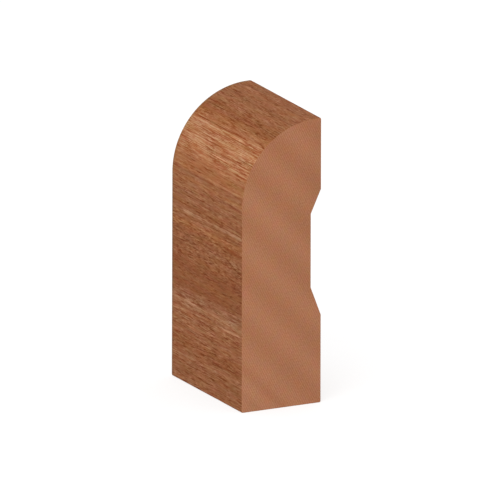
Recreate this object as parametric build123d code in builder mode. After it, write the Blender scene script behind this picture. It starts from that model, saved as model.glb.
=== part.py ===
from build123d import *
import os

# A short length of bullnose moulding, planed and moulded from one stick of hardwood.
# +Z runs up the face, +X points to the wall that the back goes against, and Y runs along
# the grain. The origin is the middle of the base that the moulding stands on.

# Driving sizes, in millimetres
face_height = 60.0        # from the base to the top edge
thickness = 18.0          # from the show face to the back
run_length = 31.2         # this piece, from saw cut to saw cut
top_flat = 1.0            # level strip left on top, between the nose and the back
arris_radius = 0.3        # the sharp long corners are eased this much

# Relief moulded into the back, so that the piece bears on two lands and bridges an uneven wall
relief_depth = 2.3
lower_land = 18.5         # bearing strip below the relief
upper_land = 15.0         # bearing strip above it
lower_flank_rise = 6.0    # height of the sloping side below the relief's floor
upper_flank_rise = 5.0    # height of the sloping side above it

# Places that follow from the sizes
show_face = -thickness / 2
back_face = thickness / 2
relief_floor = back_face - relief_depth
nose_radius = thickness - top_flat
relief_foot = lower_land
relief_head = face_height - upper_land

os.makedirs("parts", exist_ok=True)

with BuildPart() as bullnose_moulding:
    # The section is drawn once, and the run is that section along the grain
    with BuildSketch(Plane.XZ) as section:
        with BuildLine():
            base = Line((show_face, 0), (back_face, 0))
            back = Polyline(
                base @ 1,
                (back_face, relief_foot),
                (relief_floor, relief_foot + lower_flank_rise),
                (relief_floor, relief_head - upper_flank_rise),
                (back_face, relief_head),
                (back_face, face_height),
            )
            top = Line(back @ 1, (back_face - top_flat, face_height))
            nose = JernArc(start=top @ 1, tangent=top % 1, radius=nose_radius, arc_size=90)
            Line(nose @ 1, base @ 0)
        make_face()
        base_corners = section.vertices().group_by(Axis.Z)[0]
        top_corner = section.vertices().group_by(Axis.Z)[-1].sort_by(Axis.X)[-1]
        fillet([*base_corners, top_corner], arris_radius)
    extrude(amount=run_length / 2, both=True)

bullnose_moulding.part.label = "bullnose_moulding"
export_step(bullnose_moulding.part, "parts/bullnose_moulding.step")
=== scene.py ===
"""Dresses a short run of bullnose moulding as planed and sawn hardwood, in a plain white studio."""

import logging
import math
from collections.abc import Callable, Iterable
from dataclasses import dataclass, field
from enum import Enum

import bmesh
import bpy
from mathutils import Matrix, Vector


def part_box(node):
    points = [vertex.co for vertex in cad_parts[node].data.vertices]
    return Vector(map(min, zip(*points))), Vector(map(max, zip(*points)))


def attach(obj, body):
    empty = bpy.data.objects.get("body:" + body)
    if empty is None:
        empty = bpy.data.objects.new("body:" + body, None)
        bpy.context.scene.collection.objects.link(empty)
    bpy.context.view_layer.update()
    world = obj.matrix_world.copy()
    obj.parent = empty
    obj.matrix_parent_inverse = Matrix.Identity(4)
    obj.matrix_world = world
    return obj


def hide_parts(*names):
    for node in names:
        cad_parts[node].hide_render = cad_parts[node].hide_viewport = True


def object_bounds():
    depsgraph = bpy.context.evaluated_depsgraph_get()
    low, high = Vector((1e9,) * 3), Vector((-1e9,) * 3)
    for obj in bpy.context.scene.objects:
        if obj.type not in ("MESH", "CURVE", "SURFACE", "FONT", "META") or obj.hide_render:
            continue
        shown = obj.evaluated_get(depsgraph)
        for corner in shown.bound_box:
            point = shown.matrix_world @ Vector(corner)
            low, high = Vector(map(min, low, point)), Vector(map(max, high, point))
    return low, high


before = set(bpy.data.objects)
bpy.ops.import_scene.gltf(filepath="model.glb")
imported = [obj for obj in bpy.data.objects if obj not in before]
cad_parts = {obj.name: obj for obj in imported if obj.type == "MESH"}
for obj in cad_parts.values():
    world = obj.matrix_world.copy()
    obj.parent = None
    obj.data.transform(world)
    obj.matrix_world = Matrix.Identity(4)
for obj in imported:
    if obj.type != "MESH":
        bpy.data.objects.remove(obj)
cad_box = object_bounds()

MM = 0.001
PER_MM = 1000.0
CAD_NODE = "bullnose_moulding"
LEVELS = 255
WHITE = (1.0, 1.0, 1.0, 1.0)

log = logging.getLogger("bullnose_moulding")


class Slot(Enum):
    """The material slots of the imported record."""

    TIMBER = "timber"


class Tone(Enum):
    """The colours that the growth of the tree left in the timber, as red, green and blue out of 255."""

    UMBER = (131, 76, 43)
    CHESTNUT = (138, 83, 48)
    HEART = (140, 87, 54)
    FAWN = (142, 91, 61)
    ROSY = (147, 93, 59)
    STRAW = (155, 106, 74)
    HONEY = (155, 98, 60)
    AMBER = (166, 109, 71)
    GOLD = (171, 115, 78)
    SAND = (177, 122, 85)


class Cast(Enum):
    """How a patch of growth differs from the timber round it: how much paler, and how much redder."""

    CREAM = (16.0, -2.0)
    PALE = (10.0, -2.0)
    BLUSH = (2.0, 3.0)
    OLIVE = (15.0, -5.0)
    RUST = (-13.0, 4.0)
    DUSK = (-6.0, 0.0)
    VEIN = (-31.0, 2.0)
    THREAD = (30.0, -2.0)


class Texture(Enum):
    """How much there is of each family of streaks: hair, fleck, thread, mottle and line.

    The last number is how much redder a streak gets for each level that it is darker.
    """

    EVEN = (1.05, 1.0, 0.35, 0.2, 0.0, 0.11)
    STREAKY = (1.35, 1.25, 0.4, 0.0, 0.0, 0.13)
    CALM = (0.47, 0.88, 0.25, 0.15, 0.0, 0.06)
    MOTTLED = (0.6, 1.5, 0.35, 1.3, 0.0, 0.08)
    CLOSE = (1.05, 0.9, 0.65, 0.05, 0.0, 0.11)
    SOFT = (0.8, 0.75, 0.35, 0.0, 0.0, 0.15)
    VEINED = (1.4, 1.5, 1.5, 0.9, 1.4, 0.25)
    CRISP = (1.1, 1.15, 0.2, 0.0, 0.0, 0.1)


def shares(levels: Iterable[float]) -> tuple[float, ...]:
    """Turns levels of a screen, out of 255, into shares of its white."""
    return tuple(level / LEVELS for level in levels)


class Field:
    """A number that varies over a surface: one node socket that takes part in sums."""

    def __init__(self, bench: "NodeBench", socket: bpy.types.NodeSocket) -> None:
        """Wraps a socket of the bench's tree."""
        self.bench = bench
        self.socket = socket

    def _with(self, operation: str, *others: "Field | float") -> "Field":
        """Feeds this field and the others to one Math node."""
        return self.bench.math(operation, self, *others)

    def __add__(self, other: "Field | float") -> "Field":
        """Adds a field or a number."""
        return self._with("ADD", other)

    __radd__ = __add__

    def __mul__(self, other: "Field | float") -> "Field":
        """Multiplies by a field or a number."""
        return self._with("MULTIPLY", other)

    __rmul__ = __mul__

    def __sub__(self, other: "Field | float") -> "Field":
        """Takes away a field or a number."""
        return self._with("SUBTRACT", other)

    def __rsub__(self, other: float) -> "Field":
        """Takes this field away from a number."""
        return self.bench.math("SUBTRACT", other, self)

    def __truediv__(self, other: "Field | float") -> "Field":
        """Divides by a field or a number."""
        return self._with("DIVIDE", other)

    def __abs__(self) -> "Field":
        """Drops the sign."""
        return self._with("ABSOLUTE")

    def at_most(self, other: "Field | float") -> "Field":
        """Keeps the smaller of this and the other."""
        return self._with("MINIMUM", other)

    def at_least(self, other: "Field | float") -> "Field":
        """Keeps the larger of this and the other."""
        return self._with("MAXIMUM", other)

    def ramp(self, start: float, end: float) -> "Field":
        """Goes smoothly from 0 at start to 1 at end, and stays there.

        Args:
            start: the value of this field where the result leaves 0.
            end: the value of this field where the result reaches 1; it may be below start.

        Returns:
            The eased share, from 0 to 1.
        """
        node = self.bench.node(
            "ShaderNodeMapRange",
            {"interpolation_type": "SMOOTHSTEP"},
            {"Value": self, "From Min": start, "From Max": end},
        )
        return Field(self.bench, node.outputs["Result"])


class NodeBench:
    """Lays nodes into one tree: a material's, the surround's or a geometry modifier's."""

    def __init__(self, tree: bpy.types.NodeTree) -> None:
        """Takes an empty tree to work on."""
        self.tree = tree

    def node(
        self, kind: str, settings: dict[str, object], inputs: dict[str | int, object]
    ) -> bpy.types.Node:
        """Adds a node, sets what it does and then what goes into it.

        Args:
            kind: the node's type, as Blender names it.
            settings: its own properties; "stops" gives a colour ramp its stops, as place and colour.
            inputs: values or links for its sockets, by name or by number.

        Returns:
            The new node.
        """
        node = self.tree.nodes.new(kind)
        for name, value in settings.items():
            if name == "stops":
                self._set_stops(node.color_ramp, value)
            else:
                setattr(node, name, value)
        for name, value in inputs.items():
            self._feed(node.inputs[name], value)
        return node

    def _set_stops(
        self, ramp: bpy.types.ColorRamp, stops: list[tuple[float, tuple[float, ...]]]
    ) -> None:
        """Gives a colour ramp its stops, in order from 0 to 1.

        Args:
            ramp: the ramp, still with the two stops that it came with.
            stops: the place and the colour of each.
        """
        ramp.elements.remove(ramp.elements[-1])
        for number, (place, colour) in enumerate(stops):
            element = ramp.elements[0] if number == 0 else ramp.elements.new(place)
            element.position = place
            element.color = (*colour, 1.0)

    def _feed(self, socket: bpy.types.NodeSocket, value: object) -> None:
        """Links a field or a socket into a socket, or sets the socket to a plain value.

        Args:
            socket: the socket that is fed.
            value: a field, another socket or a plain value.
        """
        source = value.socket if isinstance(value, Field) else value
        if isinstance(source, bpy.types.NodeSocket):
            self.tree.links.new(source, socket)
        else:
            socket.default_value = source

    def math(self, operation: str, *values: "Field | float") -> Field:
        """Adds one Math node.

        Args:
            operation: what the node works out.
            values: its one, two or three operands.

        Returns:
            The result as a field.
        """
        node = self.node("ShaderNodeMath", {"operation": operation}, dict(enumerate(values)))
        return Field(self, node.outputs[0])

    def vector_math(self, operation: str, *vectors: object) -> bpy.types.NodeSocket:
        """Adds one Vector Math node on vectors or colours and returns its vector."""
        node = self.node("ShaderNodeVectorMath", {"operation": operation}, dict(enumerate(vectors)))
        return node.outputs["Vector"]

    def light(self, colour: object) -> bpy.types.NodeSocket:
        """Turns a colour into the light that it stands for.

        Args:
            colour: the colour, in shares of a screen's white.

        Returns:
            The light, as a colour's socket.
        """
        offset, power = 0.055, 2.4
        gain = 1.0 / (1.0 + offset)
        raised = self.vector_math("MULTIPLY_ADD", colour, (gain,) * 3, (gain * offset,) * 3)
        return self.vector_math("POWER", raised, (power,) * 3)

    def size(self, vector: bpy.types.NodeSocket) -> Field:
        """Returns the length of a vector."""
        node = self.node("ShaderNodeVectorMath", {"operation": "LENGTH"}, {0: vector})
        return Field(self, node.outputs["Value"])

    def combine(self, x: "Field | float", y: "Field | float", z: "Field | float") -> bpy.types.NodeSocket:
        """Puts three numbers together as a vector."""
        return self.node("ShaderNodeCombineXYZ", {}, {"X": x, "Y": y, "Z": z}).outputs["Vector"]

    def mix(self, share: Field, first: object, second: object) -> bpy.types.NodeSocket:
        """Mixes two colours.

        Args:
            share: how much of the second to take, from 0 to 1.
            first: the one colour.
            second: the other.

        Returns:
            The mixed colour's socket.
        """
        factor, colour_a, colour_b, result = 0, 6, 7, 2
        node = self.node(
            "ShaderNodeMix", {"data_type": "RGBA"}, {factor: share, colour_a: first, colour_b: second}
        )
        return node.outputs[result]

    def noise(self, place: bpy.types.NodeSocket, detail: float = 1.0, roughness: float = 0.5) -> Field:
        """Adds soft noise with a cell of 1 that is centred on 0.

        Args:
            place: where the noise is read.
            detail: how many finer layers it has.
            roughness: how strong each finer layer is against the one before.

        Returns:
            Noise of about -1 to 1.
        """
        node = self.node(
            "ShaderNodeTexNoise",
            {"noise_dimensions": "3D"},
            {"Vector": place, "Scale": 1.0, "Detail": detail, "Roughness": roughness},
        )
        return Field(self, node.outputs[0]) * 2.0 - 1.0

    def cell_distance(self, place: bpy.types.NodeSocket) -> Field:
        """Scatters points, one to a cell of 1.

        Args:
            place: where the distance is read.

        Returns:
            The distance to the nearest point.
        """
        node = self.node(
            "ShaderNodeTexVoronoi",
            {"voronoi_dimensions": "3D", "feature": "F1"},
            {"Vector": place, "Scale": 1.0, "Randomness": 1.0},
        )
        return Field(self, node.outputs["Distance"])


@dataclass(frozen=True)
class GrowthBand:
    """One layer of growth: how far in from the corner of the stick it lies, and its tone."""

    ring: float
    tone: Tone


@dataclass(frozen=True)
class Layers:
    """A run of growth layers, from one ring to another, and how softly it gives way at either side."""

    start: float
    end: float
    edge: float


@dataclass(frozen=True)
class TexturedLayers(Layers):
    """A run of growth layers with a texture of its own."""

    texture: Texture


@dataclass(frozen=True)
class ShadedLayers(Layers):
    """A run of rings that a sawn end shows paler, by so many levels. Growth bands use it, and so does
    painted light that evens out the light on the end.
    """

    shade: float


@dataclass(frozen=True)
class Figure:
    """A patch of growth that stands out.

    It has the ring and the place along the stick of its middle, its half thickness across the
    layers, its half length and its cast.
    """

    ring: float
    along: float
    thickness: float
    length: float
    cast: Cast


@dataclass(frozen=True)
class Streaks:
    """One family of streaks: how wide one is across the grain, how long, and how strongly it shades.

    Its detail is how many finer layers it has, and its fineness how strong each is against the one
    before. With a breadth the streaks follow the growth layers, and reach that far round them.
    """

    width: float
    length: float
    strength: float
    detail: float = 1.0
    breadth: float = 0.0
    fineness: float = 0.55


@dataclass(frozen=True)
class Timber:
    """The grain of the stick, as it lies through its whole thickness. Lengths are in millimetres.

    The growth layers cross the section at 45 degrees, so a layer is known by its ring: the way
    in from the show face added to the height above the base. Fibres and pores run along Y. The
    rings wander a little, and the fibres lean to and fro, by so much for each millimetre of Y. A
    rim is where a pore or a patch begins and a core where it is full, in shares of the pore's pitch
    or of the patch's size. Pores cut into the mesh fade out over a margin before each sawn end.
    """

    half_thickness: float = 9.0
    half_length: float = 15.6
    last_ring: float = 80.0
    wander: float = 0.1
    wander_cell: float = 26.0
    lean: float = 0.03
    lean_rings: float = 5.0
    lean_length: float = 40.0
    lean_seed: float = 3.7
    pore_pitch: float = 0.62
    pore_length: float = 5.0
    pore_rim: float = 0.30
    pore_core: float = 0.105
    pore_margin: float = 0.15
    patch_rim: float = 1.25
    patch_core: float = 0.55
    bands: tuple[GrowthBand, ...] = (
        GrowthBand(0.0, Tone.HEART),
        GrowthBand(4.9, Tone.HEART),
        GrowthBand(5.3, Tone.ROSY),
        GrowthBand(5.6, Tone.STRAW),
        GrowthBand(5.9, Tone.ROSY),
        GrowthBand(6.6, Tone.HEART),
        GrowthBand(8.4, Tone.CHESTNUT),
        GrowthBand(9.5, Tone.CHESTNUT),
        GrowthBand(10.1, Tone.ROSY),
        GrowthBand(10.9, Tone.ROSY),
        GrowthBand(11.5, Tone.HEART),
        GrowthBand(12.2, Tone.ROSY),
        GrowthBand(13.1, Tone.ROSY),
        GrowthBand(13.9, Tone.HEART),
        GrowthBand(14.7, Tone.ROSY),
        GrowthBand(15.6, Tone.ROSY),
        GrowthBand(16.1, Tone.HEART),
        GrowthBand(17.0, Tone.STRAW),
        GrowthBand(17.4, Tone.STRAW),
        GrowthBand(18.1, Tone.FAWN),
        GrowthBand(19.3, Tone.FAWN),
        GrowthBand(20.4, Tone.UMBER),
        GrowthBand(22.9, Tone.CHESTNUT),
        GrowthBand(24.6, Tone.UMBER),
        GrowthBand(27.0, Tone.CHESTNUT),
        GrowthBand(30.6, Tone.HEART),
        GrowthBand(32.3, Tone.CHESTNUT),
        GrowthBand(34.1, Tone.HONEY),
        GrowthBand(34.9, Tone.ROSY),
        GrowthBand(35.5, Tone.CHESTNUT),
        GrowthBand(36.3, Tone.STRAW),
        GrowthBand(36.9, Tone.CHESTNUT),
        GrowthBand(37.9, Tone.CHESTNUT),
        GrowthBand(38.6, Tone.ROSY),
        GrowthBand(39.6, Tone.HEART),
        GrowthBand(41.2, Tone.ROSY),
        GrowthBand(42.6, Tone.ROSY),
        GrowthBand(43.3, Tone.HONEY),
        GrowthBand(43.9, Tone.ROSY),
        GrowthBand(44.9, Tone.ROSY),
        GrowthBand(45.6, Tone.HONEY),
        GrowthBand(47.8, Tone.HONEY),
        GrowthBand(49.4, Tone.AMBER),
        GrowthBand(50.0, Tone.AMBER),
        GrowthBand(52.0, Tone.GOLD),
        GrowthBand(54.4, Tone.GOLD),
        GrowthBand(55.0, Tone.SAND),
        GrowthBand(55.8, Tone.SAND),
        GrowthBand(57.2, Tone.AMBER),
        GrowthBand(58.0, Tone.GOLD),
        GrowthBand(59.2, Tone.GOLD),
        GrowthBand(60.0, Tone.HONEY),
        GrowthBand(61.9, Tone.HONEY),
        GrowthBand(64.2, Tone.CHESTNUT),
        GrowthBand(65.8, Tone.CHESTNUT),
        GrowthBand(67.0, Tone.ROSY),
        GrowthBand(69.4, Tone.ROSY),
        GrowthBand(70.6, Tone.HEART),
        GrowthBand(71.6, Tone.HEART),
        GrowthBand(72.6, Tone.ROSY),
        GrowthBand(79.0, Tone.HEART),
    )
    figures: tuple[Figure, ...] = (
        Figure(60.65, -12.6, 0.12, 3.0, Cast.VEIN),
        Figure(59.75, -12.0, 0.45, 3.6, Cast.CREAM),
        Figure(59.7, 5.4, 0.14, 7.4, Cast.VEIN),
        Figure(58.65, 5.6, 0.85, 7.0, Cast.OLIVE),
        Figure(59.6, -4.4, 0.45, 5.0, Cast.RUST),
        Figure(58.75, -5.2, 0.15, 4.0, Cast.THREAD),
        Figure(58.1, -14.6, 0.5, 3.0, Cast.RUST),
        Figure(58.3, -8.4, 0.15, 7.4, Cast.VEIN),
        Figure(56.0, -11.0, 1.0, 6.4, Cast.PALE),
        Figure(55.5, 11.6, 0.12, 4.4, Cast.VEIN),
        Figure(55.6, 3.7, 0.14, 3.2, Cast.VEIN),
        Figure(55.5, 12.0, 0.6, 3.0, Cast.RUST),
        Figure(54.6, 2.7, 0.16, 4.4, Cast.VEIN),
        Figure(54.4, -0.4, 0.7, 4.0, Cast.RUST),
        Figure(54.4, -7.2, 0.8, 4.0, Cast.PALE),
        Figure(54.0, 8.6, 1.3, 3.6, Cast.PALE),
        Figure(53.9, -12.4, 0.14, 3.4, Cast.VEIN),
        Figure(53.1, -10.2, 0.18, 3.0, Cast.VEIN),
        Figure(52.9, 13.7, 0.9, 1.8, Cast.RUST),
        Figure(52.5, -0.6, 0.13, 4.4, Cast.VEIN),
        Figure(51.8, -3.2, 0.16, 4.6, Cast.THREAD),
        Figure(51.6, 12.4, 0.18, 3.2, Cast.VEIN),
        Figure(51.0, 4.0, 0.16, 6.0, Cast.VEIN),
        Figure(51.1, -13.6, 0.2, 2.4, Cast.VEIN),
        Figure(51.2, 14.0, 0.7, 2.0, Cast.PALE),
        Figure(50.7, 6.4, 0.8, 4.0, Cast.PALE),
        Figure(50.5, -9.4, 0.7, 1.8, Cast.PALE),
        Figure(50.3, -3.2, 0.8, 2.4, Cast.RUST),
        Figure(45.4, -6.0, 0.28, 11.0, Cast.CREAM),
        Figure(44.85, -1.0, 0.22, 17.0, Cast.RUST),
        Figure(36.55, -10.6, 0.25, 6.5, Cast.CREAM),
        Figure(36.15, 8.6, 0.4, 3.6, Cast.CREAM),
        Figure(35.15, -1.4, 0.3, 2.6, Cast.CREAM),
        Figure(32.85, -12.0, 0.6, 3.6, Cast.RUST),
        Figure(19.9, -15.0, 0.5, 2.4, Cast.PALE),
        Figure(17.4, -1.4, 0.8, 3.4, Cast.BLUSH),
        Figure(15.6, -10.6, 0.22, 5.6, Cast.THREAD),
        Figure(15.3, 12.2, 0.32, 3.2, Cast.CREAM),
        Figure(12.7, -13.0, 1.2, 2.8, Cast.DUSK),
        Figure(3.9, -12.6, 1.4, 3.0, Cast.DUSK),
    )
    textures: tuple[TexturedLayers, ...] = (
        TexturedLayers(12.5, 19.0, 1.0, Texture.STREAKY),
        TexturedLayers(20.0, 26.0, 1.0, Texture.CALM),
        TexturedLayers(26.5, 34.0, 1.5, Texture.MOTTLED),
        TexturedLayers(34.5, 43.5, 1.0, Texture.CLOSE),
        TexturedLayers(43.5, 49.5, 1.0, Texture.SOFT),
        TexturedLayers(49.5, 60.6, 1.0, Texture.VEINED),
        TexturedLayers(60.6, 90.0, 1.0, Texture.CRISP),
    )


class GrainFields:
    """The timber's grain as fields on a node bench, from a place in the stick."""

    def __init__(self, bench: NodeBench, timber: Timber, place: object) -> None:
        """Works out the coordinates that every part of the grain is laid on.

        Args:
            bench: the bench of the tree that the fields are for.
            timber: the grain's sizes.
            place: the socket that gives the point, in metres.
        """
        self.bench = bench
        self.timber = timber
        scaled = bench.vector_math("MULTIPLY", place, (PER_MM, PER_MM, PER_MM))
        parts = bench.node("ShaderNodeSeparateXYZ", {}, {"Vector": scaled}).outputs
        self.across, self.along, self.up = (Field(bench, parts[axis]) for axis in "XYZ")
        cells = (part / timber.wander_cell for part in (self.across, self.along, self.up))
        wander = bench.noise(bench.combine(*cells)) * timber.wander
        self.ring = self.across + timber.half_thickness + self.up + wander
        self.tangent = self.across - self.up
        rings, lengths = self.ring / timber.lean_rings, self.along / timber.lean_length
        turn = bench.noise(bench.combine(rings, lengths, timber.lean_seed))
        self.lean = turn * timber.lean * self.along

    def _fibre_cells(self, width: float, length: float) -> bpy.types.NodeSocket:
        """Counts in cells that run with the grain.

        Args:
            width: how wide and how thick a cell is.
            length: how long it is.

        Returns:
            The place, in cells.
        """
        return self.bench.combine(
            (self.across + self.lean) / width, self.along / length, (self.up + self.lean) / width
        )

    def streaks(self, kind: Streaks) -> Field:
        """Lays one family of streaks.

        Args:
            kind: the family.

        Returns:
            The streaks, of about -1 to 1, before their strength.
        """
        if kind.breadth:
            ring = (self.ring + self.lean) / kind.width
            cells = self.bench.combine(ring, self.along / kind.length, self.tangent / kind.breadth)
        else:
            cells = self._fibre_cells(kind.width, kind.length)
        return self.bench.noise(cells, kind.detail, kind.fineness)

    def shades(self, kind: Streaks) -> Field:
        """Returns one family of streaks at its strength."""
        return self.streaks(kind) * kind.strength

    def pores(self) -> Field:
        """Long narrow vessels, one to a cell, that a cut face opens as short dashes.

        Returns:
            1 in the middle of a vessel and 0 outside it.
        """
        timber = self.timber
        cells = self._fibre_cells(timber.pore_pitch, timber.pore_length)
        return self.bench.cell_distance(cells).ramp(timber.pore_rim, timber.pore_core)

    def patch(self, figure: Figure, fray: Field) -> Field:
        """Marks where one patch of growth lies.

        Args:
            figure: the patch.
            fray: streaks that roughen its edge.

        Returns:
            1 within the patch and 0 outside it.
        """
        ring = (self.ring - figure.ring) / figure.thickness
        along = (self.along - figure.along) / figure.length
        reach = self.bench.size(self.bench.combine(ring, along, 0.0))
        return (reach + fray).ramp(self.timber.patch_rim, self.timber.patch_core)

    def within(self, layers: Layers) -> Field:
        """Returns 1 within a run of growth layers and 0 outside it."""
        begun = self.ring.ramp(layers.start - layers.edge, layers.start + layers.edge)
        return begun * self.ring.ramp(layers.end + layers.edge, layers.end - layers.edge)

    def amounts(self) -> list[Field]:
        """Works out the texture of the timber.

        Returns:
            What a texture gives, in its own order.
        """
        even = Texture.EVEN.value
        amounts = list(even)
        for layers in self.timber.textures:
            inside = self.within(layers)
            changes = [own - usual for own, usual in zip(layers.texture.value, even)]
            amounts = [amount + inside * change for amount, change in zip(amounts, changes)]
        return amounts


@dataclass(frozen=True)
class PlanedTimber:
    """The finish of the piece: bare hardwood, planed along the grain and sawn across it.

    Colours are worked out as a screen shows them. A shade is in levels out of 255, and a tint is
    what one step adds to red, green and blue, in the same levels. Heights are shares of the relief.
    """

    name: str = "planed_hardwood"
    timber: Timber = field(default_factory=Timber)
    shade_tint: tuple[float, float, float] = (1.0, 1.0, 1.02)
    red_tint: tuple[float, float, float] = (0.8, -0.42, -0.3)
    yellow_tint: tuple[float, float, float] = (0.0, 0.35, -0.69)

    # The long faces. Hairs, flecks, threads, lines and mottles shade them, clumps gather the hairs and
    # flecks, blush and straw turn the hue, and fray roughens the patches. The shades are softened, the
    # dark ones then gain by their square, and neither the darkest nor the palest passes its limit.
    hair: Streaks = Streaks(0.24, 5.0, 52.0, 2.0, 2.5, 0.75)
    fleck: Streaks = Streaks(0.22, 1.6, 37.0, 1.0, 2.5, 0.75)
    thread: Streaks = Streaks(0.25, 16.0, 38.0, 1.0, 3.0, 0.75)
    line: Streaks = Streaks(0.28, 9.0, 20.0, 1.0, 3.0)
    mottle: Streaks = Streaks(0.8, 2.0, 17.0, 1.0, 3.0)
    clump: Streaks = Streaks(1.2, 3.5, 1.4, 1.0, 4.0)
    blush: Streaks = Streaks(0.9, 5.0, 10.0, 2.0)
    straw: Streaks = Streaks(1.1, 6.0, 7.5, 1.0)
    fray: Streaks = Streaks(0.5, 5.0, 0.9, 1.0)
    line_start: float = 0.14
    line_full: float = 0.32
    vessel_shade: float = -12.0
    softening: float = 0.88
    deepening: float = 0.011
    darkest: float = -32.0
    palest: float = 25.0
    patch_calm: float = 0.3

    # The last millimetre of the long faces before the far end is duller
    dull_reach: float = 1.1
    dull_full: float = 0.7
    dull_shade: float = -3.5
    dull_red: float = -6.0

    # The sawn ends
    end_colour: tuple[int, int, int] = (166, 111, 80)
    end_bands_and_painted_light: tuple[ShadedLayers, ...] = (
        # Partly a paler growth band and partly painted light that lifts the shade near the base, where
        # the floor darkens the end
        ShadedLayers(5.0, 8.3, 1.0, 7.5),
        ShadedLayers(9.3, 10.9, 0.8, -2.0),
        # Painted shade that darkens the top of the end, where the light falls brighter
        ShadedLayers(52.0, 90.0, 6.0, -2.0),
    )
    end_fleck: Streaks = Streaks(0.3, 1.3, 17.0)
    end_blush: Streaks = Streaks(2.2, 9.0, 5.5)
    end_tinge: Streaks = Streaks(0.7, 9.0, 2.8)
    end_straw: Streaks = Streaks(1.5, 7.0, 7.5)
    end_edge: float = 0.10
    stroke_pitch: float = 0.43
    stroke_angle: float = -63.0
    stroke_shade: float = 5.8
    band_pitch: float = 11.2
    band_peak: float = 24.0
    band_shade: float = 3.1

    # The sheen and the finest relief
    roughness: float = 0.8
    vessel_roughness: float = 0.1
    specular: float = 0.1
    relief: float = 0.02 * MM
    hair_height: float = 0.66
    stroke_height: float = 0.15

    def make(self) -> bpy.types.Material:
        """Builds the material.

        Returns:
            The finished material, ready for a piece.
        """
        material = bpy.data.materials.new(self.name)
        material.use_nodes = True
        tree = material.node_tree
        tree.nodes.clear()
        bench = NodeBench(tree)
        place = bench.node("ShaderNodeTexCoord", {}, {}).outputs["Object"]
        grain = GrainFields(bench, self.timber, place)
        vessels = grain.pores()
        strokes = self.saw_strokes(grain)
        end = abs(grain.along).ramp(self.timber.half_length - self.end_edge, self.timber.half_length)
        long_grain = self.long_grain_colour(grain, vessels)
        end_grain = self.end_grain_colour(grain, strokes)
        planed = grain.streaks(self.hair) * self.hair_height - vessels
        height = planed + (strokes * self.stroke_height - planed) * end
        bump = bench.node(
            "ShaderNodeBump", {}, {"Strength": 1.0, "Distance": self.relief, "Height": height}
        )
        shader = bench.node(
            "ShaderNodeBsdfPrincipled",
            {},
            {
                "Base Color": bench.mix(end, long_grain, end_grain),
                "Roughness": vessels * self.vessel_roughness + self.roughness,
                "Specular IOR Level": self.specular,
                "Normal": bump.outputs["Normal"],
            },
        )
        bench.node("ShaderNodeOutputMaterial", {}, {"Surface": shader.outputs["BSDF"]})
        return material

    def saw_strokes(self, grain: GrainFields) -> Field:
        """Lays the strokes of the saw across the section.

        Args:
            grain: the timber's grain.

        Returns:
            A wave of -1 to 1.
        """
        turn = math.radians(self.stroke_angle)
        count = (grain.up * math.cos(turn) - grain.across * math.sin(turn)) / self.stroke_pitch
        return grain.bench.math("SINE", count * math.tau)

    def _tinted(
        self, bench: NodeBench, base: object, shade: Field, red: Field, yellow: Field
    ) -> bpy.types.NodeSocket:
        """Shades a colour and turns its hue.

        Args:
            bench: the bench of the material.
            base: the colour to start from, in shares of a screen's white.
            shade: how many levels paler it gets.
            red: how many steps redder it gets.
            yellow: how many steps yellower it gets.

        Returns:
            The finished colour, as light.
        """
        colour = base
        for amount, tint in ((shade, self.shade_tint), (red, self.red_tint), (yellow, self.yellow_tint)):
            steps = bench.combine(amount, amount, amount)
            colour = bench.vector_math("MULTIPLY_ADD", steps, shares(tint), colour)
        return bench.light(colour)

    def growth_colour(self, grain: GrainFields) -> bpy.types.NodeSocket:
        """Colours the growth layers.

        A ramp takes 32 stops, so the bands go on two ramps that meet at one band.

        Args:
            grain: the timber's grain.

        Returns:
            The colour's socket, in shares of a screen's white.
        """
        bands, last = self.timber.bands, self.timber.last_ring
        middle = len(bands) // 2
        inner, outer = (
            grain.bench.node(
                "ShaderNodeValToRGB",
                {"stops": [(band.ring / last, shares(band.tone.value)) for band in part]},
                {"Fac": grain.ring / last},
            ).outputs["Color"]
            for part in (bands[:middle + 1], bands[middle:])
        )
        past_middle = grain.bench.math("GREATER_THAN", grain.ring, bands[middle].ring)
        return grain.bench.mix(past_middle, inner, outer)

    def streak_shade(self, grain: GrainFields, vessels: Field, amounts: list[Field]) -> Field:
        """Adds up the streaks of the long faces. Hairs and flecks come in clumps.

        Args:
            grain: the timber's grain.
            vessels: where a vessel is cut open.
            amounts: how much there is of each family, in the order of a texture.

        Returns:
            How many levels paler the timber is.
        """
        hair, fleck, thread, mottle, line = amounts
        shade = grain.shades(self.hair) * hair + grain.shades(self.fleck) * fleck
        shade *= (grain.shades(self.clump) + 1.0).at_least(0.0)
        shade += grain.shades(self.thread) * thread + grain.shades(self.mottle) * mottle
        lines = grain.streaks(self.line).ramp(self.line_start, self.line_full) * line
        shade += vessels * self.vessel_shade - lines * self.line.strength
        dark = shade.at_most(0.0)
        shade = shade * self.softening - dark * dark * self.deepening
        return shade.at_least(self.darkest).at_most(self.palest)

    def long_grain_colour(self, grain: GrainFields, vessels: Field) -> bpy.types.NodeSocket:
        """Colours the faces that run with the grain.

        Args:
            grain: the timber's grain.
            vessels: where a vessel is cut open.

        Returns:
            The colour's socket.
        """
        *amounts, warmth = grain.amounts()
        shade = self.streak_shade(grain, vessels, amounts)
        red = grain.shades(self.blush) - shade * warmth
        fray = grain.shades(self.fray)
        for figure in self.timber.figures:
            mark = grain.patch(figure, fray)
            paler, redder = figure.cast.value
            shade += mark * (paler - shade * self.patch_calm)
            red += mark * redder
        half = self.timber.half_length
        dull = grain.along.ramp(half - self.dull_reach, half - self.dull_full)
        shade += dull * self.dull_shade
        red += dull * self.dull_red
        yellow = grain.shades(self.straw)
        return self._tinted(grain.bench, self.growth_colour(grain), shade, red, yellow)

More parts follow.
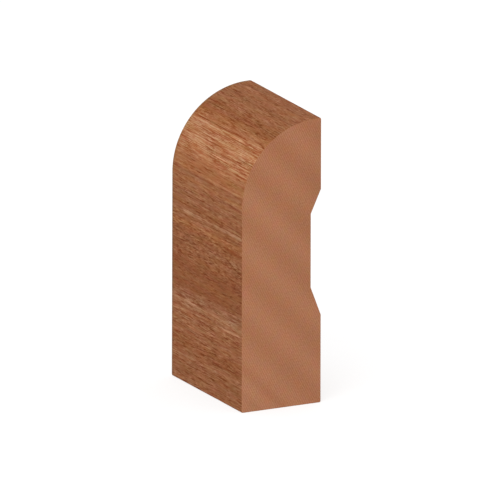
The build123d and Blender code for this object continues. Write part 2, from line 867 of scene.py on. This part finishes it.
    def end_grain_colour(self, grain: GrainFields, strokes: Field) -> bpy.types.NodeSocket:
        """Colours the two sawn ends.

        Args:
            grain: the timber's grain.
            strokes: the strokes of the saw.

        Returns:
            The colour's socket.
        """
        turn = (grain.ring - self.band_peak) * (math.tau / self.band_pitch)
        band = grain.bench.math("COSINE", turn)
        shade = band * self.band_shade + strokes * self.stroke_shade + grain.shades(self.end_fleck)
        # The runs of rings hold growth bands and painted light alike
        for layers in self.end_bands_and_painted_light:
            shade += grain.within(layers) * layers.shade
        red = grain.shades(self.end_blush) + grain.shades(self.end_tinge)
        yellow = grain.shades(self.end_straw)
        return self._tinted(grain.bench, shares(self.end_colour), shade, red, yellow)


class Bench:
    """One piece in Edit Mode: selected by place or direction and shaped by Blender's operators."""

    def __init__(self, name: str, low: Vector, high: Vector) -> None:
        """Starts a rectangular blank.

        Args:
            name: the piece's name.
            low: the blank's lowest corner.
            high: its highest corner.
        """
        bpy.ops.object.select_all(action="DESELECT")
        bpy.ops.mesh.primitive_cube_add(size=1.0, location=(low + high) / 2, scale=high - low)
        self.piece = bpy.context.active_object
        self.piece.name = name
        self.piece.data.name = name
        bpy.ops.object.transform_apply(location=True, rotation=True, scale=True)
        bpy.ops.object.mode_set(mode="EDIT")
        self.select_edges(lambda edge: False)

    def _select(self, kind: str, wanted: Callable[..., bool]) -> None:
        """Selects the parts of one kind that pass a test, and nothing else.

        Args:
            kind: FACE or EDGE.
            wanted: the test of one face or edge.
        """
        bpy.ops.mesh.select_mode(type=kind)
        bpy.ops.mesh.select_all(action="DESELECT")
        shape = bmesh.from_edit_mesh(self.piece.data)
        shape.normal_update()
        for part in shape.faces if kind == "FACE" else shape.edges:
            if wanted(part):
                part.select_set(True)
        bmesh.update_edit_mesh(self.piece.data)

    def select_faces(self, wanted: Callable[[bmesh.types.BMFace], bool]) -> None:
        """Selects the faces that pass a test, and nothing else."""
        self._select("FACE", wanted)

    def select_edges(self, wanted: Callable[[bmesh.types.BMEdge], bool]) -> None:
        """Selects the edges that pass a test, and nothing else."""
        self._select("EDGE", wanted)

    def round_over(self, width: float, steps: int) -> None:
        """Rounds the selected edges.

        Args:
            width: how far back from the edge the round begins.
            steps: how many flats it is made of.
        """
        circle = 0.5
        bpy.ops.mesh.bevel(
            offset=width, offset_type="OFFSET", segments=steps, profile=circle,
            affect="EDGES", clamp_overlap=False,
        )

    def finish(self) -> bpy.types.Object:
        """Makes the faces point outwards and leaves Edit Mode.

        Returns:
            The piece.
        """
        bpy.ops.mesh.select_all(action="SELECT")
        bpy.ops.mesh.normals_make_consistent(inside=False)
        bpy.ops.mesh.select_all(action="DESELECT")
        bpy.ops.object.mode_set(mode="OBJECT")
        return self.piece


@dataclass
class MouldingRun:
    """The moulding itself: one stick, rounded over its top front corner and hollowed at the back.

    Two places count as one when they are nearer than near, or agree to so many digits of a metre.
    A face looks along an axis when that part of its normal is more than facing.
    """

    name: str = "moulding_run"
    top_flat: float = 1.0 * MM
    relief_depth: float = 2.3 * MM
    lower_land: float = 18.5 * MM
    upper_land: float = 15.0 * MM
    lower_flank_rise: float = 6.0 * MM
    upper_flank_rise: float = 5.0 * MM
    arris_radius: float = 0.3 * MM
    arris_steps: int = 3
    cut_arris: float = 0.12 * MM
    cut_steps: int = 2
    end_frame: float = 0.084 * MM
    fine_pitch: float = 0.125 * MM
    plain_pitch: float = 0.3 * MM
    length_pitch: float = 0.42 * MM
    shortest_flat: float = 0.25 * MM
    most_parts: int = 60
    pore_depth: float = 0.03 * MM
    smooth_angle: float = 30.0
    near: float = 0.01 * MM
    section_digits: int = 6
    facing: float = 0.9
    finish: PlanedTimber = field(default_factory=PlanedTimber)

    def __post_init__(self) -> None:
        """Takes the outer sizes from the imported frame."""
        self.low, self.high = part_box(CAD_NODE)
        self.nose_radius = self.high.x - self.low.x - self.top_flat
        self.relief_foot = self.low.z + self.lower_land
        self.relief_head = self.high.z - self.upper_land

    def build(self) -> bpy.types.Object:
        """Makes the piece, dresses it and hangs it on the frame.

        Returns:
            The finished piece.
        """
        bench = Bench(self.name, self.low, self.high)
        self.round_nose(bench)
        self.hollow_back(bench)
        self.ease_long_corners(bench)
        self.divide_faces(bench)
        self.ease_sawn_ends(bench)
        piece = bench.finish()
        self.open_the_grain(piece)
        bpy.ops.object.shade_smooth_by_angle(angle=math.radians(self.smooth_angle))
        piece.data.materials.append(self.finish.make())
        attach(piece, "root")
        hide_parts(CAD_NODE)
        return piece

    def _is_long(self, edge: bmesh.types.BMEdge) -> bool:
        """Says whether an edge runs along the grain."""
        first, last = (vertex.co for vertex in edge.verts)
        return abs(first.x - last.x) < self.near and abs(first.z - last.z) < self.near

    def _lies_at(self, edge: bmesh.types.BMEdge, x: float, z: float) -> bool:
        """Says whether a long edge passes through a point of the section."""
        start = edge.verts[0].co
        return self._is_long(edge) and abs(start.x - x) < self.near and abs(start.z - z) < self.near

    def _is_back(self, face: bmesh.types.BMFace) -> bool:
        """Says whether a face looks to the back."""
        return face.normal.x > self.facing

    def _is_end(self, face: bmesh.types.BMFace) -> bool:
        """Says whether a face is a sawn end."""
        return abs(face.normal.y) > self.facing

    def round_nose(self, bench: Bench) -> None:
        """Rounds the top front corner to a quarter circle.

        Args:
            bench: the bench that holds the piece.
        """
        bench.select_edges(lambda edge: self._lies_at(edge, self.low.x, self.high.z))
        arc = self.nose_radius * math.pi / 2
        bench.round_over(self.nose_radius, round(arc / self.fine_pitch))

    def hollow_back(self, bench: Bench) -> None:
        """Marks the back out in five strips and sinks the middle one, which slopes its neighbours.

        Args:
            bench: the bench that holds the piece.
        """
        floor_foot = self.relief_foot + self.lower_flank_rise
        floor_head = self.relief_head - self.upper_flank_rise
        for height in (self.relief_foot, floor_foot, floor_head, self.relief_head):
            bench.select_faces(self._is_back)
            bpy.ops.mesh.bisect(plane_co=(0.0, 0.0, height), plane_no=(0.0, 0.0, 1.0))
        bench.select_faces(
            lambda face: self._is_back(face) and floor_foot < face.calc_center_median().z < floor_head
        )
        bpy.ops.transform.translate(value=(-self.relief_depth, 0.0, 0.0))

    def ease_long_corners(self, bench: Bench) -> None:
        """Takes the sharpness off the three square corners that run along the stick.

        Args:
            bench: the bench that holds the piece.
        """
        corners = ((self.low.x, self.low.z), (self.high.x, self.low.z), (self.high.x, self.high.z))
        bench.select_edges(lambda edge: any(self._lies_at(edge, x, z) for x, z in corners))
        bench.round_over(self.arris_radius, self.arris_steps)

    def divide_faces(self, bench: Bench) -> None:
        """Divides the long faces finely enough to carry open grain, most finely where they show.

        Args:
            bench: the bench that holds the piece.
        """
        shape = bmesh.from_edit_mesh(bench.piece.data)
        flats = {
            self._section_middle(edge): (edge.verts[0].co.copy(), edge.verts[1].co.copy())
            for edge in shape.edges
            if not self._is_long(edge) and edge.calc_length() > self.shortest_flat
        }
        for start, end in flats.values():
            in_front = max(start.x, end.x) < self.low.x + self.near
            on_top = min(start.z, end.z) > self.high.z - self.near
            pitch = self.fine_pitch if in_front or on_top else self.plain_pitch
            self._divide_flat(bench, start, end, pitch)
        bench.select_edges(self._is_long)
        bpy.ops.mesh.subdivide(number_cuts=round((self.high.y - self.low.y) / self.length_pitch) - 1)

    def _section_middle(self, edge: bmesh.types.BMEdge) -> tuple[float, float]:
        """Returns the middle of an edge in the section, rounded so that both ends of the run agree."""
        middle = (edge.verts[0].co + edge.verts[1].co) / 2
        return round(middle.x, self.section_digits), round(middle.z, self.section_digits)

    def _divide_flat(self, bench: Bench, start: Vector, end: Vector, pitch: float) -> None:
        """Divides one flat of the section, at both ends of the run, to about a pitch.

        A flat that needs more than the most parts is divided in two rounds.

        Args:
            bench: the bench that holds the piece.
            start: a point at one end of the flat.
            end: a point at its other end.
            pitch: the length wanted for its parts.
        """
        along = Vector((end.x - start.x, end.z - start.z))

        def is_on_flat(edge: bmesh.types.BMEdge) -> bool:
            """Says whether an edge lies across the run, on this flat.

            Args:
                edge: the edge to test.

            Returns:
                True if it does.
            """
            if self._is_long(edge):
                return False
            middle_x, middle_z = self._section_middle(edge)
            way = Vector((middle_x - start.x, middle_z - start.z))
            share = way.dot(along) / along.length_squared
            return 0.0 < share < 1.0 and (way - along * share).length < self.near

        parts = max(1, round(along.length / pitch))
        first = math.ceil(parts / self.most_parts)
        for count in (first, round(parts / first)):
            if count > 1:
                bench.select_edges(is_on_flat)
                bpy.ops.mesh.subdivide(number_cuts=count - 1)

    def ease_sawn_ends(self, bench: Bench) -> None:
        """Softens the edge round each sawn end, and frames the end so that it stays flat.

        Args:
            bench: the bench that holds the piece.
        """
        bench.select_edges(lambda edge: sum(self._is_end(face) for face in edge.link_faces) == 1)
        bench.round_over(self.cut_arris, self.cut_steps)
        bench.select_faces(self._is_end)
        bpy.ops.mesh.inset(thickness=self.end_frame)

    def open_the_grain(self, piece: bpy.types.Object) -> None:
        """Sinks the cut vessels into the long faces.

        Args:
            piece: the finished shape.
        """
        tree = bpy.data.node_groups.new("open_grain", "GeometryNodeTree")
        tree.interface.new_socket("Geometry", in_out="INPUT", socket_type="NodeSocketGeometry")
        tree.interface.new_socket("Geometry", in_out="OUTPUT", socket_type="NodeSocketGeometry")
        bench = NodeBench(tree)
        incoming = bench.node("NodeGroupInput", {}, {})
        place = bench.node("GeometryNodeInputPosition", {}, {}).outputs["Position"]
        normal = bench.node("GeometryNodeInputNormal", {}, {}).outputs["Normal"]
        timber = self.finish.timber
        grain = GrainFields(bench, timber, place)
        inside = abs(grain.along).ramp(timber.half_length, timber.half_length - timber.pore_margin)
        sink = grain.pores() * inside * -self.pore_depth
        offset = bench.vector_math("MULTIPLY", normal, bench.combine(sink, sink, sink))
        moved = bench.node(
            "GeometryNodeSetPosition", {}, {"Geometry": incoming.outputs["Geometry"], "Offset": offset}
        )
        bench.node("NodeGroupOutput", {}, {"Geometry": moved.outputs["Geometry"]})
        modifier = piece.modifiers.new("open_grain", "NODES")
        modifier.node_group = tree
        bpy.ops.object.modifier_apply(modifier=modifier.name)


@dataclass
class Studio:
    """A white floor, an even white surround, one broad soft lamp and the camera."""

    floor_side: float = 8.0
    floor_matt: float = 0.2
    floor_glow: float = 0.69
    seen_matt: float = 0.36
    seen_glow: float = 0.7
    surround: float = 0.85
    lamp_power: float = 28.9
    lamp_side: float = 2.0
    lamp_distance: float = 3.0
    lamp_azimuth: float = -45.0
    lamp_elevation: float = 42.0
    camera_azimuth: float = -27.1
    camera_elevation: float = 16.0
    camera_roll: float = 0.134
    camera_distance: float = 0.6
    picture_width: float = 99.92 * MM

    def __post_init__(self) -> None:
        """Takes the floor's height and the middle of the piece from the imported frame."""
        low, high = cad_box
        self.floor_height = low.z
        self.middle = (low + high) / 2

    def build(self) -> None:
        """Lays the floor, lights the piece and sets the camera."""
        self.lay_floor()
        self.light()
        self.set_camera()
        bpy.context.scene.view_settings.view_transform = "Standard"

    def _direction(self, azimuth: float, elevation: float) -> Vector:
        """Points from the piece towards a place round it.

        Args:
            azimuth: how far round the place lies, in degrees.
            elevation: how far up it lies, in degrees.

        Returns:
            The unit vector.
        """
        turn, rise = math.radians(azimuth), math.radians(elevation)
        level = math.cos(rise)
        return Vector((math.sin(turn) * level, -math.cos(turn) * level, math.sin(rise)))

    def _seen_directly(self, bench: NodeBench) -> Field:
        """Tells what the camera sees, itself or in a mirror or through glass, from what only lights.

        Args:
            bench: the bench of the tree that asks.

        Returns:
            1 for what is seen and 0 for the rest.
        """
        path = bench.node("ShaderNodeLightPath", {}, {}).outputs
        camera, glossy, through = (
            Field(bench, path[name]) for name in ("Is Camera Ray", "Is Glossy Ray", "Is Transmission Ray")
        )
        return camera.at_least(glossy).at_least(through)

    def _floor_shader(self, bench: NodeBench, matt: float, glow: float) -> bpy.types.Node:
        """Adds a white that is partly lit by the studio and partly by itself.

        Args:
            bench: the bench of the floor's material.
            matt: how much of the light it scatters.
            glow: how much light it gives off.

        Returns:
            The shader node.
        """
        lit = bench.node("ShaderNodeBsdfDiffuse", {}, {"Color": (matt, matt, matt, 1.0)})
        glowing = bench.node("ShaderNodeEmission", {}, {"Color": WHITE, "Strength": glow})
        return bench.node("ShaderNodeAddShader", {}, {0: lit.outputs[0], 1: glowing.outputs[0]})

    def lay_floor(self) -> None:
        """Lays a plain white floor that keeps a faint shadow of the piece."""
        bpy.ops.object.select_all(action="DESELECT")
        bpy.ops.mesh.primitive_plane_add(size=self.floor_side, location=(0.0, 0.0, self.floor_height))
        floor = bpy.context.active_object
        floor.name = "floor"
        material = bpy.data.materials.new("white_floor")
        material.use_nodes = True
        material.node_tree.nodes.clear()
        bench = NodeBench(material.node_tree)
        plain = self._floor_shader(bench, self.floor_matt, self.floor_glow)
        seen = self._floor_shader(bench, self.seen_matt, self.seen_glow)
        share = self._seen_directly(bench)
        mixed = bench.node(
            "ShaderNodeMixShader", {}, {0: share, 1: plain.outputs[0], 2: seen.outputs[0]}
        )
        bench.node("ShaderNodeOutputMaterial", {}, {"Surface": mixed.outputs[0]})
        floor.data.materials.append(material)

    def light(self) -> None:
        """Sets the even surround and hangs the soft lamp, in front and to the left."""
        world = bpy.data.worlds.new("white_surround")
        world.use_nodes = True
        world.node_tree.nodes.clear()
        bench = NodeBench(world.node_tree)
        strength = self._seen_directly(bench) * (1.0 - self.surround) + self.surround
        backdrop = bench.node("ShaderNodeBackground", {}, {"Color": WHITE, "Strength": strength})
        bench.node("ShaderNodeOutputWorld", {}, {"Surface": backdrop.outputs[0]})
        bpy.context.scene.world = world
        towards = self._direction(self.lamp_azimuth, self.lamp_elevation)
        bpy.ops.object.light_add(type="AREA", location=self.middle + towards * self.lamp_distance)
        lamp = bpy.context.active_object
        lamp.name = "soft_lamp"
        lamp.rotation_euler = (-towards).to_track_quat("-Z", "Y").to_euler()
        lamp.data.size = self.lamp_side
        lamp.data.energy = self.lamp_power

    def set_camera(self) -> None:
        """Sets the camera to the picture's own parallel view."""
        towards = self._direction(self.camera_azimuth, self.camera_elevation)
        bpy.ops.object.camera_add(location=self.middle + towards * self.camera_distance)
        camera = bpy.context.active_object
        camera.name = "camera"
        camera.data.type = "ORTHO"
        camera.data.ortho_scale = self.picture_width
        level = (-towards).to_track_quat("-Z", "Y").to_matrix()
        roll = Matrix.Rotation(math.radians(self.camera_roll), 3, "Z")
        camera.rotation_euler = (level @ roll).to_euler()
        bpy.context.scene.camera = camera


def main() -> None:
    """Builds the moulding and the studio round it."""
    logging.basicConfig(level=logging.INFO, format="%(name)s: %(message)s")
    piece = MouldingRun().build()
    log.info("%s has %d faces", piece.name, len(piece.data.polygons))
    Studio().build()
    log.info("the studio is lit and the camera is set")


if __name__ == "__main__":
    main()
